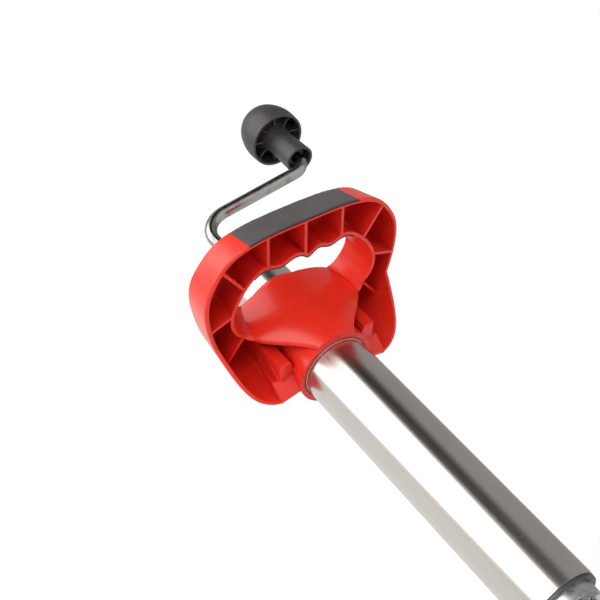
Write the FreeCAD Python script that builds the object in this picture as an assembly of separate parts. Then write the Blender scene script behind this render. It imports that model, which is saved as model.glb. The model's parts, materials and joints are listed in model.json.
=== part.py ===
"""Jockey wheel with a D-shaped manoeuvring handle, modelled in millimetres.

The outer tube stands along Z with the winding crank at its top (+Z) and the wheel below (-Z).
The handle's hand grip reaches towards +Y.  The origin lies on the tube's axis, just below the
handle's collar, where the bare clamping length of the tube begins.
"""
import FreeCAD, Part
import math
import os

from FreeCAD import Vector

# ---------------------------------------------------------------- clearances
RUNNING_FIT = 0.06        # radial gap of a shaft that turns or slides in its hole
SEAT_FIT = 0.02           # radial gap of pieces that are pressed or screwed together
BODY_GAP = 0.4            # gap between neighbouring moving pieces
OVERSHOOT = 1.0           # how far a cutter runs past the face it cuts
REACH = 160.0             # size of a cutter that is larger than the whole handle

# ---------------------------------------------------------------- outer tube
TUBE_R = 30.0
TUBE_WALL = 3.0
TUBE_TOP = 160.0
TUBE_BOTTOM = -260.0
TUBE_BORE = TUBE_R - TUBE_WALL
GROOVE_RING_WIDTH = 2.0   # locating groove in the tube at the handle's collar
GROOVE_RING_DEPTH = 0.4

# ---------------------------------------------------------------- leg
TRAVEL = 200.0
LEG_CLEARANCE = 2.0       # filled by the plastic guides
LEG_R = TUBE_BORE - LEG_CLEARANCE
LEG_WALL = 3.0
LEG_BORE = LEG_R - LEG_WALL
LEG_REACH = 12.0          # leg's length below the outer tube when wound in
BUSH_LENGTH = 20.0
BUSH_FLANGE = 2.5
BUSH_FLANGE_INSET = 0.5
KEY_WIDTH = 6.0
KEY_LENGTH = 26.0
KEY_BITE = 1.4            # how deep the key stands in the leg's slot
KEY_DEPTH = LEG_CLEARANCE + KEY_BITE
KEY_SIDE_GAP = 0.2
KEY_END_GAP = 2.0
KEY_ABOVE_BUSH = 4.0
GUIDE_RING_LENGTH = 20.0
GUIDE_RING_DROP = 2.0

# ---------------------------------------------------------------- crank
CRANK_R = 6.0
CRANK_STRAIGHT = 21.6     # straight bar between the collar and the first bend
CRANK_ARM_X = -123.0
CRANK_ARM_Y = 18.6
LOWER_BEND_R = 27.0
UPPER_BEND_R = 16.0
PIN_R = 2.5
PIN_WALL = 0.8
PIN_INSET = 0.5
PIN_SLIT = 0.6
CRANK_PIN_DROP = 8.0      # from the top of the spindle's head to its pin

# ---------------------------------------------------------------- spindle and thrust bearing
SPINDLE_R = 10.0
SPINDLE_HEAD_R = 16.0
SPINDLE_HEAD_LENGTH = 22.0
SOCKET_FLOOR = 6.0        # solid metal under the bar in the spindle's head
NUT_LENGTH = 30.0
NUT_TO_HEAD = 18.0
STOP_LENGTH = 14.0
STOP_R = 15.0
STOP_GAP = 3.0
SPINDLE_TAIL = 2.0
SEAT_THICK = 8.0
RACE_THICK = 3.0
RACE_R = 18.0
RACE_BORE = CRANK_R + 2.0
BALL_R = 3.0
BALL_GAP = 0.02
BALL_COUNT = 10
CAGE_THICK = 1.6
CAGE_GAP = 0.15
CAGE_INSET = 0.5

# ---------------------------------------------------------------- cap at the tube's top
CAP_WALL = 1.6
CAP_SKIRT = 14.0
CAP_PLATE = 3.0
CAP_NECK = 6.0
CAP_NECK_WALL = 3.0
CRANK_BUSH_WALL = 3.0
CRANK_BUSH_R = CRANK_R + CRANK_BUSH_WALL
CAP_NECK_R = CRANK_BUSH_R + CAP_NECK_WALL
CAP_ROUND = 1.6
CRANK_BUSH_FLANGE = 2.0
CAP_RIVET_R = 2.4
CAP_RIVET_COUNT = 3
RIVET_START_R = TUBE_BORE - 5.0   # the shanks end inside the bearing seat
RIVET_HEAD_BALL_R = 4.8   # the dome of a rivet's head is part of this ball
RIVET_HEAD_SINK = 1.6
COLLAR_WALL = 5.0
COLLAR_R = CRANK_R + COLLAR_WALL
COLLAR_LENGTH = 9.0

# ---------------------------------------------------------------- knob
KNOB_STANDOFF = 13.0      # from the arm's centre line up to the stem's end
KNOB_STEM = 40.0
KNOB_BELL = 42.0
KNOB_R = 29.4
KNOB_WALL = 2.4
STEM_END_R = 14.75
STEM_NECK_R = 13.35
KNOB_RIBS = 8
KNOB_RIB_THICK = 1.5
KNOB_RIB_DROP = 1.5         # how far the ribs stay behind the bell's rim
KNOB_SCOOP_PITCH_R = KNOB_R - 8.9   # hollow in the free edge of the knob's ribs
KNOB_SCOOP_R = 12.0
KNOB_SCOOP_DROP = 6.0
KNOB_HUB_R = CRANK_R + 2.6
KNOB_HUB_RECESS = 7.5
KNOB_HUB_RISE = 22.0      # from the bell's rim to the hub's end
KNOB_POCKET = 7.0         # room for the clip above the hub
CLIP_THICK = 1.2
CLIP_TO_END = 1.0
CLIP_R = CRANK_R + 2.0
# the stem's flare inside the bell: how much wider than its neck, height above the rim
KNOB_FLARE = [(0.0, -4.0), (0.8, 2.0), (2.6, 8.0), (6.0, 14.0), (10.0, 19.0)]
# the bell's side: share of its radius, share of its depth
KNOB_FOOT = 0.985
KNOB_WAIST_HEIGHT = 0.33
KNOB_SHOULDER = (0.82, 0.76)

# ---------------------------------------------------------------- handle
HANDLE_RIM_Z = 53.0       # open, ribbed side of the D, towards the wheel
HANDLE_DEPTH = 31.0
HANDLE_TOP_Z = HANDLE_RIM_Z + HANDLE_DEPTH   # closed side of the D, towards the crank
HANDLE_FLOOR = 3.0
RIB_TOP_Z = HANDLE_TOP_Z - HANDLE_FLOOR / 3   # ribs end inside the floor
HANDLE_WALL = 3.6
LOOP_WALL = 3.0
LOOP_DROP = 6.0           # how far the opening's wall follows the shoulders below the rim
RIB_THICK = 2.5
RIM_ROUND = 2.0
SHOULDER_START_Y = 29.5   # from here down the rim falls at 45 degrees to the collar
SLEEVE_WALL = 5.3
SLEEVE_R = TUBE_R + SLEEVE_WALL
SLEEVE_BOTTOM = 6.5
SLEEVE_TOP = HANDLE_TOP_Z + 12.0
SLEEVE_CHAMFER = 1.2
SLEEVE_FIT = 0.05
DOME_WALL = 3.5
LIP_ROUND = 1.4
FINGER_PITCH = 24.0
FINGER_RIDGE_Y = 89.0
FINGER_VALLEY_Y = 92.6
PAD_HALF_LENGTH = 52.0
PAD_THICK = 2.0
FINGER_PAD_HALF_LENGTH = 48.0
FINGER_PAD_START_Y = FINGER_RIDGE_Y - 9.0
FINGER_PAD_THICK = 1.5
WEB_BOTTOM = 8.5
WEB_TOP = 34.0
PLATE_ROOT = (24.0, -5.0)
WEB_TIP = (52.8, -11.2)
WEB_THICK = 3.0
WEB_SLOPE = 1.45          # rise over run of the plate's sloping face

# right half of the D's outline at the rim: x, y, and how far the wall leans in at the top face
OUTLINE = [
    (0.0, 127.0, 7.6),
    (52.0, 124.0, 8.2),
    (71.5, 116.0, 8.0),
    (85.0, 100.0, 5.8),
    (92.2, 85.0, 3.8),
    (94.5, 70.0, 3.0),
    (92.8, 50.0, 3.0),
    (88.9, 33.0, 2.6),
    (81.8, 12.0, 2.4),
    (76.4, 1.2, 2.4),
    (70.0, -6.4, 2.4),
    (61.5, -11.2, 2.4),
    (52.0, -13.4, 2.4),
]
# right half of the finger opening: x, y at the rim, then x, y at the top face
OPENING = [
    (50.0, 86.3, 47.0, 84.0),
    (64.0, 68.5, 59.0, 68.5),
    (69.0, 52.0, 63.0, 55.5),
    (63.5, 36.0, 58.0, 43.0),
    (48.0, 28.5, 44.0, 32.5),
    (18.0, 40.0, 18.0, 43.0),
]
OPENING_MIDDLE = (42.0, 45.0)
# the dome over the sleeve: height, half width, y of its lips, y of its middle
DOME = [
    (HANDLE_TOP_Z, 46.0, 30.8, 45.0),
    (51.5, 53.6, 27.0, 44.0),
    (30.0, 36.5, 30.3, 41.6),
    (7.0, 18.0, 33.8, 38.3),
]
# ribs of the D from the outer wall to the loop wall: x, y outside, x, y inside
RIBS = [
    (0.0, 126.0, 0.0, 88.0),
    (35.4, 126.0, 35.4, 92.0),
    (77.5, 109.0, 58.5, 82.0),
    (92.0, 50.0, 67.0, 59.0),
    (80.0, 4.0, 58.3, 32.6),
]
# block that stiffens each shoulder: corners in plan
SHOULDER_BLOCK = [(47.7, 16.6), (37.5, 16.7), (34.8, 13.5), (34.0, 3.5), (47.0, -4.2)]
SHOULDER_BLOCK_Z = 19.0
BLOCK_ROUND = 1.5
# where the D's outline closes behind the sleeve: half width, y
OUTLINE_BACK = (26.0, -4.0)
# wedge between that block's outer face and the D's wall: height, x and y of its free edge
CORNER_X = 47.7
CORNER_BACK_Y = -12.0
CORNER_WALL = 3.0
CORNER_LOW = (22.0, 53.1, -1.6)
CORNER_HIGH = (52.0, 48.2, -8.0)

# ---------------------------------------------------------------- handle screws
SCREW_R = 2.5
SCREW_HEAD_R = 5.0
SCREW_HEAD = 3.0
SCREW_BOSS_R = 8.0
SCREW_BOSS = 4.0          # how far a screw's boss stands out of the sleeve
SCREW_HEIGHTS = (30.0, HANDLE_TOP_Z - 12.0)

# ---------------------------------------------------------------- swivel and fork
KING_R = 6.0
KING_HEX = 19.0
KING_HEAD = 7.5
KING_NUT = 10.0
KING_TAIL = 3.0
PLUG_THICK = 14.0
SWIVEL_RACE_R = LEG_R - 1.0
SWIVEL_BALL_PITCH_R = SWIVEL_RACE_R - 7.0
SWIVEL_BALLS = 14
WASHER_THICK = 2.5
WASHER_R = 12.0
FORK_PLATE = 5.0
TYRE_SIDE_GAP = 4.5       # between the tyre and each of the fork's arms
FORK_BEND_R = 9.0
FORK_HALF_DEPTH = SWIVEL_RACE_R + 4.0
FORK_CROWN_DROP = 26.0    # height of the crown's upright sides
FORK_CROWN_BACK = 6.0     # how much further the crown reaches at the back
FORK_EYE_R = 18.0
TRAIL = 45.0
WHEEL_HEADROOM = 21.0     # from the tyre to the top of the fork's crown

# ---------------------------------------------------------------- wheel
WHEEL_R = 100.0
TYRE_HALF_WIDTH = 27.5
TYRE_DEPTH = 38.5
RIM_SEAT_R = WHEEL_R - TYRE_DEPTH
RIM_PLATE = 2.6
RIM_FLANGE_R = RIM_SEAT_R + 7.0
RIM_HALF_WIDTH = TYRE_HALF_WIDTH - 3.0
RIM_CORNER = 3.5
TYRE_FIT = 0.1            # gap between the tyre and the rim's flanges
TYRE_LIP = 1.5
AXLE_R = 6.0
SPACER_WALL = 3.0
SPACER_R = AXLE_R + SPACER_WALL
BUSH_WALL = 4.0
BUSH_R = SPACER_R + BUSH_WALL
BUSH_FACE = 2.0           # thickness of the hub bushes' flanges
BUSH_DEPTH = 20.0
HUB_TUBE_WALL = 3.0
HUB_TUBE_R = BUSH_R + HUB_TUBE_WALL
HUB_SIDE_GAP = 3.0        # between the hub's bushes and the fork's arms
AXLE_HEX = 19.0
AXLE_HEAD = 7.5
RIM_BOLT_R = 4.0
RIM_BOLT_CIRCLE = (HUB_TUBE_R + RIM_SEAT_R) / 2
RIM_BOLT_COUNT = 4
RIM_BOLT_HEX = 13.0
RIM_BOLT_HEAD = 5.5
RIM_NUT = 6.0
RIM_BOLT_TAIL = 2.0
TREAD_GROOVES = (-13.0, 0.0, 13.0)
GROOVE_WIDTH = 3.0
GROOVE_DEPTH = 2.5
# the tyre's side from its flank to the tread: depth below the tread, inset from its side
TYRE_SIDE = [(20.0, 0.0), (12.0, 1.0), (6.0, 3.6), (2.5, 7.8), (0.0, 14.0)]

# ---------------------------------------------------------------- heights that follow
SEAT_BOTTOM = TUBE_TOP - SEAT_THICK
FIXED_RACE_BOTTOM = SEAT_BOTTOM - RACE_THICK
BALL_Z = FIXED_RACE_BOTTOM - BALL_R - BALL_GAP
TURNING_RACE_TOP = BALL_Z - BALL_R - BALL_GAP
HEAD_TOP = TURNING_RACE_TOP - RACE_THICK
HEAD_BOTTOM = HEAD_TOP - SPINDLE_HEAD_LENGTH
SOCKET_BOTTOM = HEAD_BOTTOM + SOCKET_FLOOR
NUT_TOP = HEAD_BOTTOM - NUT_TO_HEAD
NUT_BOTTOM = NUT_TOP - NUT_LENGTH
STOP_TOP = NUT_BOTTOM - TRAVEL - STOP_GAP
SPINDLE_END = STOP_TOP - STOP_LENGTH - SPINDLE_TAIL
LEG_TOP = NUT_TOP
LEG_BOTTOM = TUBE_BOTTOM - LEG_REACH
KEY_BOTTOM = TUBE_BOTTOM + BUSH_LENGTH + KEY_ABOVE_BUSH
UPPER_RACE_BOTTOM = LEG_BOTTOM - RACE_THICK
SWIVEL_BALL_Z = UPPER_RACE_BOTTOM - BALL_R - BALL_GAP
LOWER_RACE_TOP = SWIVEL_BALL_Z - BALL_R - BALL_GAP
FORK_TOP = LOWER_RACE_TOP - RACE_THICK
FORK_UNDER = FORK_TOP - FORK_PLATE
KING_WASHER_TOP = FORK_UNDER - BODY_GAP
KING_NUT_TOP = KING_WASHER_TOP - WASHER_THICK
KING_END = KING_NUT_TOP - KING_NUT - KING_TAIL
AXLE_Z = FORK_TOP - WHEEL_HEADROOM - WHEEL_R
FORK_HALF_GAP = TYRE_HALF_WIDTH + TYRE_SIDE_GAP
HUB_HALF_LENGTH = FORK_HALF_GAP - HUB_SIDE_GAP
FORK_HALF_WIDTH = FORK_HALF_GAP + FORK_PLATE
CAP_TOP = TUBE_TOP + CAP_PLATE
NECK_TOP = CAP_TOP + CAP_NECK
BUSH_FLANGE_TOP = NECK_TOP + CRANK_BUSH_FLANGE
COLLAR_BOTTOM = BUSH_FLANGE_TOP + BODY_GAP
CRANK_ARM_Z = COLLAR_BOTTOM + COLLAR_LENGTH + CRANK_STRAIGHT + LOWER_BEND_R
KNOB_START_Z = CRANK_ARM_Z + KNOB_STANDOFF
KNOB_RIM_Z = KNOB_START_Z + KNOB_STEM
KNOB_TOP_Z = KNOB_RIM_Z + KNOB_BELL
KNOB_HUB_TOP = KNOB_RIM_Z + KNOB_HUB_RISE
CRANK_END_Z = KNOB_HUB_TOP + BODY_GAP + CLIP_THICK + CLIP_TO_END

UP = Vector(0, 0, 1)
ACROSS = Vector(1, 0, 0)


# ---------------------------------------------------------------- small helpers
def disc(radius, bottom, top, x=0.0, y=0.0):
    """Solid cylinder along Z."""
    return Part.makeCylinder(radius, top - bottom, Vector(x, y, bottom), UP)


def ring(inner, outer, bottom, top, x=0.0, y=0.0):
    """Cylinder along Z with a round hole through it."""
    return disc(outer, bottom, top, x, y).cut(disc(inner, bottom - OVERSHOOT, top + OVERSHOOT, x, y))


def rod(radius, start, end):
    """Solid cylinder between two points."""
    return Part.makeCylinder(radius, (end - start).Length, start, end - start)


def block(x0, x1, y0, y1, z0, z1):
    """Box between two corners."""
    return Part.makeBox(x1 - x0, y1 - y0, z1 - z0, Vector(x0, y0, z0))


def hex_prism(across_flats, start, end):
    """Six-sided prism between two points."""
    corner_r = across_flats / math.sqrt(3)
    axis = end - start
    frame = FreeCAD.Rotation(UP, axis)
    corners = []
    for side in range(7):
        angle = math.radians(60 * side)
        local = Vector(corner_r * math.cos(angle), corner_r * math.sin(angle), 0)
        corners.append(start + frame.multVec(local))
    return Part.Face(Part.makePolygon(corners)).extrude(axis)


def prism(points, bottom, top):
    """Extrude a plan outline of (x, y) points from bottom to top."""
    corners = [Vector(x, y, bottom) for x, y in points]
    return Part.Face(Part.makePolygon(corners + [corners[0]])).extrude(Vector(0, 0, top - bottom))


def turned(profile, centre, axis):
    """Revolve a closed (radius, height) profile about an axis through a centre."""
    rotation = FreeCAD.Rotation(UP, axis)
    corners = [Vector(r, 0, h) for r, h in profile]
    face = Part.Face(Part.makePolygon(corners + [corners[0]]))
    solid = face.revolve(Vector(0, 0, 0), UP, 360)
    solid.Placement = FreeCAD.Placement(centre, rotation)
    return solid


def mirrored(shape):
    """Copy of a shape on the other side of the YZ plane."""
    return shape.mirror(Vector(0, 0, 0), ACROSS)


def both_sides(shape):
    """A shape and its mirror image."""
    return [shape, mirrored(shape)]


def fuse(shapes):
    """One solid from several that touch or overlap."""
    return shapes[0].multiFuse(shapes[1:]).removeSplitter()


def save(name, shape):
    """Write one sub-part; a list becomes a group of separate solids."""
    solid = Part.makeCompound(shape) if isinstance(shape, list) else shape
    solid.exportStep("parts/" + name + ".step")


# ---------------------------------------------------------------- handle outlines
def inward_normals(points):
    """Unit normals at the points of a curve, to the right of its direction of travel."""
    normals = []
    last = len(points) - 1
    for index in range(len(points)):
        before = points[max(index - 1, 0)]
        after = points[min(index + 1, last)]
        along = (after - before).normalize()
        normals.append(Vector(along.y, -along.x, 0))
    return normals


def outline_points(inset, lean):
    """The D's whole outline from the left tip over the grip to the right tip.

    inset moves it inwards everywhere; lean is the share of each point's own inward lean."""
    right = [Vector(x, y, 0) for x, y, far in OUTLINE]
    leans = [far for x, y, far in OUTLINE]
    left = [Vector(-point.x, point.y, 0) for point in reversed(right[1:])]
    points = left + right
    all_leans = list(reversed(leans[1:])) + leans
    normals = inward_normals(points)
    return [p + n * (inset + lean * far) for p, n, far in zip(points, normals, all_leans)]


def outline_wire(inset, lean, height):
    """Closed outline of the D: a smooth curve round the grip, closed behind the sleeve."""
    points = [Vector(p.x, p.y, height) for p in outline_points(inset, lean)]
    curve = Part.BSplineCurve()
    curve.interpolate(points)
    back_x, back_y = OUTLINE_BACK
    back_right = Vector(back_x, back_y + inset, height)
    back_left = Vector(-back_x, back_y + inset, height)
    edges = [
        curve.toShape(),
        Part.makeLine(points[-1], back_right),
        Part.makeLine(back_right, back_left),
        Part.makeLine(back_left, points[0]),
    ]
    return Part.Wire(edges)


def lean_at(height):
    """Share of the inward lean that the wall has reached at a height."""
    depth = HANDLE_TOP_Z - HANDLE_RIM_Z
    return (height - HANDLE_RIM_Z) / depth


def outline_solid(inset, bottom, top):
    """Solid inside the D's leaning outline."""
    lower = outline_wire(inset, lean_at(bottom), bottom)
    upper = outline_wire(inset, lean_at(top), top)
    return Part.makeLoft([lower, upper], True, True)


def opening_points(share):
    """Finger opening; share 0 is the rim and 1 the top face."""
    def between(low, high):
        return low + (high - low) * share
    drop = between(0.0, 2.0)
    right = [
        (0.0, FINGER_RIDGE_Y - drop),
        (FINGER_PITCH / 2, FINGER_VALLEY_Y - drop),
        (FINGER_PITCH, FINGER_RIDGE_Y - drop),
        (FINGER_PITCH * 1.5, FINGER_VALLEY_Y - drop),
    ]
    for x0, y0, x1, y1 in OPENING:
        right.append((between(x0, x1), between(y0, y1)))
    middle = (0.0, between(*OPENING_MIDDLE))
    left = [(-x, y) for x, y in reversed(right[1:])]
    return right + [middle] + left


def opening_wire(offset, height):
    """Closed curve of the finger opening, moved outwards by an offset."""
    share = lean_at(height)
    points = [Vector(x, y, 0) for x, y in opening_points(share)]
    count = len(points)
    moved = []
    for index, point in enumerate(points):
        along = (points[(index + 1) % count] - points[index - 1]).normalize()
        outward = Vector(-along.y, along.x, 0)
        moved.append(Vector(point.x, point.y, height) + outward * offset)
    curve = Part.BSplineCurve()
    curve.interpolate(Points=moved, PeriodicFlag=True)
    return Part.Wire(curve.toShape())


def opening_solid(offset, bottom, top):
    """Solid that fills the finger opening."""
    return Part.makeLoft([opening_wire(offset, bottom), opening_wire(offset, top)], True, True)


def opening_cutter(offset):
    """The finger opening run well past both sides of the D."""
    return opening_solid(offset, HANDLE_RIM_Z - HANDLE_DEPTH, HANDLE_TOP_Z + HANDLE_DEPTH / 3)


def dome_section(height, half_width, lip_y, middle_y):
    """Crescent of the dome's wall at one height."""
    def arc(shift):
        start = Vector(half_width, lip_y - shift, height)
        crown = Vector(0, middle_y - shift, height)
        end = Vector(-half_width, lip_y - shift, height)
        return Part.Arc(start, crown, end).toShape(), start, end
    outer, outer_start, outer_end = arc(0.0)
    inner, inner_start, inner_end = arc(DOME_WALL)
    sides = [Part.makeLine(outer_end, inner_end), Part.makeLine(inner_start, outer_start)]
    return Part.Wire([outer, sides[0], inner, sides[1]])


def dome_shell():
    """The dome's wall, with the outer edges of its two lips rounded."""
    shell = Part.makeLoft([dome_section(*row) for row in DOME], True, False)
    foot_lip_y = DOME[-1][2]
    lips = []
    for edge in shell.Edges:
        box = edge.BoundBox
        if box.ZLength > SLEEVE_R and box.YMax > foot_lip_y - DOME_WALL / 2:
            lips.append(edge)
    return shell.makeFillet(LIP_ROUND, lips)


def shoulder_cutter():
    """Space under the D's rim and under the falling rim of the shoulders."""
    low = HANDLE_RIM_Z - 2 * REACH
    corners = [
        Vector(-REACH, SHOULDER_START_Y - REACH, low),
        Vector(-REACH, SHOULDER_START_Y - REACH, HANDLE_RIM_Z - REACH),
        Vector(-REACH, SHOULDER_START_Y, HANDLE_RIM_Z),
        Vector(-REACH, REACH, HANDLE_RIM_Z),
        Vector(-REACH, REACH, low),
    ]
    face = Part.Face(Part.makePolygon(corners + [corners[0]]))
    return face.extrude(Vector(2 * REACH, 0, 0))


def round_rim(body):
    """Round the outer edge of the D's open rim and of the shoulders' falling rim."""
    edges = []
    for edge in body.Edges:
        box = edge.BoundBox
        curved = edge.Curve.TypeId != "Part::GeomLine"
        if curved and box.ZMin < HANDLE_RIM_Z + 0.01 and box.ZMax < HANDLE_RIM_Z + 0.01:
            edges.append(edge)
    return body.makeFillet(RIM_ROUND, edges)


def rib(x_outer, y_outer, x_inner, y_inner, thickness):
    """Upright wall between two points in plan, from the D's rim to its closed side."""
    start = Vector(x_outer, y_outer, 0)
    end = Vector(x_inner, y_inner, 0)
    along = (end - start).normalize()
    side = Vector(-along.y, along.x, 0) * (thickness / 2)
    corners = [start + side, end + side, end - side, start - side]
    return prism([(c.x, c.y) for c in corners], HANDLE_RIM_Z, RIB_TOP_Z)


def shoulder_block():
    """Hollow-looking stiffener in each shoulder, rounded at its lower end."""
    block_solid = prism(SHOULDER_BLOCK, SHOULDER_BLOCK_Z, RIB_TOP_Z)
    lower = [edge for edge in block_solid.Edges if edge.BoundBox.ZMax < SHOULDER_BLOCK_Z + 0.01]
    return block_solid.makeFillet(BLOCK_ROUND, lower)


def shoulder_plate():
    """Sloping plate between the sleeve and the shoulder's tip; its lower edge is straight."""
    def strip(height, shift):
        corners = [PLATE_ROOT, WEB_TIP]
        front = [Vector(x, y + shift, height) for x, y in corners]
        back = [Vector(x, y + shift - WEB_THICK, height) for x, y in reversed(corners)]
        return Part.makePolygon(front + back + [front[0]])
    rise = WEB_TOP - WEB_BOTTOM
    slope = Part.makeLoft([strip(WEB_BOTTOM, 0.0), strip(WEB_TOP, rise / WEB_SLOPE)], True, True)
    slope = slope.cut(block(CORNER_X, REACH, CORNER_LOW[2], REACH, 0.0, HANDLE_TOP_Z))
    root_x, root_y = PLATE_ROOT
    tip_x, tip_y = WEB_TIP
    back = prism([(root_x, root_y - WEB_THICK), (tip_x, tip_y - WEB_THICK), WEB_TIP, PLATE_ROOT],
                 WEB_BOTTOM, RIB_TOP_Z)
    return fuse([slope, back])


def before_plate():
    """Space on the wheel's side of the shoulder plate's sloping face."""
    def strip(height, shift):
        near = [Vector(x, y + shift, height) for x, y in (PLATE_ROOT, WEB_TIP)]
        near[1] = near[1] + (near[1] - near[0])
        far = [point + Vector(0, REACH, 0) for point in reversed(near)]
        return Part.makePolygon(near + far + [near[0]])
    rise = WEB_TOP - WEB_BOTTOM
    run = rise / WEB_SLOPE
    return Part.makeLoft([strip(WEB_BOTTOM - rise, -run), strip(WEB_TOP, run)], True, True)


def shoulder_corner(envelope):
    """Wall that joins the block to the D's wall, with a wedge along its outside."""
    def section(height, x, y):
        corners = [(CORNER_X, y), (x, y), (x, CORNER_BACK_Y), (CORNER_X, CORNER_BACK_Y)]
        points = [Vector(px, py, height) for px, py in corners]
        return Part.makePolygon(points + [points[0]])
    height, x, y = CORNER_LOW
    upper = Part.makeLoft([section(*CORNER_LOW), section(*CORNER_HIGH)], True, True)
    foot = prism([(CORNER_X, y), (x, y), (x, CORNER_BACK_Y), (CORNER_X, CORNER_BACK_Y)],
                 WEB_BOTTOM, height)
    inside = CORNER_X - CORNER_WALL
    wall = prism([(inside, CORNER_BACK_Y), (CORNER_X, CORNER_BACK_Y), (CORNER_X, y), (inside, y)],
                 WEB_BOTTOM, RIB_TOP_Z)
    return fuse([upper, foot, wall]).cut(before_plate()).common(envelope)


def handle_parts():
    """The red handle, its outer pad and its finger pad."""
    body = outline_solid(0.0, 0.0, HANDLE_TOP_Z)
    body = body.cut(shoulder_cutter())
    hollow = outline_solid(HANDLE_WALL, -OVERSHOOT, HANDLE_TOP_Z - HANDLE_FLOOR)
    envelope = round_rim(body)
    frame = envelope.cut(hollow)

    loop = opening_solid(LOOP_WALL, HANDLE_RIM_Z - LOOP_DROP, HANDLE_TOP_Z).common(envelope)
    walls = []
    for x0, y0, x1, y1 in RIBS:
        wall = rib(x0, y0, x1, y1, RIB_THICK).common(envelope)
        walls.extend([wall] if x0 == 0 else both_sides(wall))
    walls.extend(both_sides(shoulder_corner(envelope)))
    walls.extend(both_sides(shoulder_block()))
    walls.extend(both_sides(shoulder_plate()))

    frame = fuse([frame, loop] + walls)
    opening = opening_cutter(0.0)
    frame = frame.cut(opening)
    dome = dome_shell()
    sleeve = disc(SLEEVE_R, SLEEVE_BOTTOM, SLEEVE_TOP)
    bosses = []
    for height in SCREW_HEIGHTS:
        bosses.append(rod(SCREW_BOSS_R, Vector(0, -TUBE_R, height), screw_seat(height)))
    frame = fuse([frame, dome, sleeve] + bosses)
    frame = frame.cut(disc(TUBE_R + SLEEVE_FIT, 0.0, SLEEVE_TOP + OVERSHOOT))
    flare = Part.makeCone(TUBE_R + SLEEVE_CHAMFER, TUBE_R, SLEEVE_CHAMFER,
                          Vector(0, 0, SLEEVE_BOTTOM), UP)
    frame = frame.cut(flare)
    for height in SCREW_HEIGHTS:
        frame = frame.cut(screw_hole(height))

    above = HANDLE_TOP_Z + OVERSHOOT
    pad_zone = block(-PAD_HALF_LENGTH, PAD_HALF_LENGTH, FINGER_VALLEY_Y, REACH, 0.0, above)
    under_pad = outline_solid(PAD_THICK, 0.0, above)
    pad = envelope.common(pad_zone).cut(under_pad)
    frame = frame.cut(pad_zone.cut(under_pad))
    finger_zone = block(-FINGER_PAD_HALF_LENGTH, FINGER_PAD_HALF_LENGTH, FINGER_PAD_START_Y, REACH,
                        HANDLE_RIM_Z, HANDLE_TOP_Z)
    finger_pad = opening.common(finger_zone).cut(opening_cutter(-FINGER_PAD_THICK))
    return frame, pad, finger_pad


def screw_seat(height):
    """Where a handle screw's head rests on its boss."""
    return Vector(0, -SLEEVE_R - SCREW_BOSS, height)


def screw_hole(height):
    """Hole for a handle screw, from inside the tube's bore out through the boss."""
    outside = screw_seat(height) - Vector(0, SCREW_HEAD, 0)
    return rod(SCREW_R + SEAT_FIT, Vector(0, -TUBE_BORE + OVERSHOOT, height), outside)


def handle_screws():
    """Screws through the sleeve's bosses into the tube's wall, ending flush with its bore."""
    screws = []
    for height in SCREW_HEIGHTS:
        seat = screw_seat(height)
        tip = Vector(0, -TUBE_BORE - BODY_GAP, height)
        top = seat - Vector(0, SCREW_HEAD, 0)
        screws.append(fuse([rod(SCREW_R, tip, seat), rod(SCREW_HEAD_R, seat, top)]))
    return screws


# ---------------------------------------------------------------- tube and cap
def outer_tube():
    """The clamped tube, with tapped holes for the handle's screws and the cap's rivets."""
    tube = ring(TUBE_BORE, TUBE_R, TUBE_BOTTOM, TUBE_TOP)
    groove_bottom = SLEEVE_BOTTOM - GROOVE_RING_WIDTH
    tube = tube.cut(ring(TUBE_R - GROOVE_RING_DEPTH, TUBE_R + OVERSHOOT, groove_bottom, SLEEVE_BOTTOM))
    for height in SCREW_HEIGHTS:
        tube = tube.cut(screw_hole(height))
    return cut_rivet_holes(tube)


def rivet_points():
    """Where the cap's rivets enter, as an outward direction for each."""
    directions = []
    for index in range(CAP_RIVET_COUNT):
        angle = math.radians(90 + 360 / CAP_RIVET_COUNT * index)
        directions.append(Vector(math.cos(angle), math.sin(angle), 0))
    return directions


def rivet_height():
    return TUBE_TOP - CAP_SKIRT / 2


def cut_rivet_holes(shape):
    """Remove the rivets' holes from the tube, the seat or the cap."""
    height = Vector(0, 0, rivet_height())
    for direction in rivet_points():
        hole = rod(CAP_RIVET_R + SEAT_FIT, height + direction * (RIVET_START_R - SEAT_FIT),
                   height + direction * (TUBE_R + CAP_WALL + OVERSHOOT))
        shape = shape.cut(hole)
    return shape


def cap_rivets():
    """Dome-headed rivets that hold the cap and the bearing seat in the tube."""
    height = Vector(0, 0, rivet_height())
    face = TUBE_R + CAP_WALL
    rivets = []
    for direction in rivet_points():
        shank = rod(CAP_RIVET_R, height + direction * RIVET_START_R, height + direction * face)
        ball = Part.makeSphere(RIVET_HEAD_BALL_R, height + direction * (face - RIVET_HEAD_SINK))
        outside = rod(RIVET_HEAD_BALL_R, height + direction * face,
                      height + direction * (face + RIVET_HEAD_BALL_R))
        rivets.append(fuse([shank, ball.common(outside)]))
    return rivets


def top_cap():
    """Pressed cap over the tube's end, with a neck for the crank's bush."""
    skirt = ring(TUBE_R + SEAT_FIT, TUBE_R + CAP_WALL, TUBE_TOP - CAP_SKIRT, TUBE_TOP)
    plate = disc(TUBE_R + CAP_WALL, TUBE_TOP, CAP_TOP)
    neck = disc(CAP_NECK_R, CAP_TOP, NECK_TOP)
    cap = fuse([skirt, plate, neck])
    shoulder = [edge for edge in cap.Edges if abs(edge.BoundBox.ZMin - CAP_TOP) < 0.01
                and edge.BoundBox.XLength > 2 * TUBE_R]
    cap = cap.makeFillet(CAP_ROUND, shoulder)
    cap = cap.cut(disc(CRANK_BUSH_R + SEAT_FIT, TUBE_TOP - OVERSHOOT, NECK_TOP + OVERSHOOT))
    return cut_rivet_holes(cap)


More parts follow.
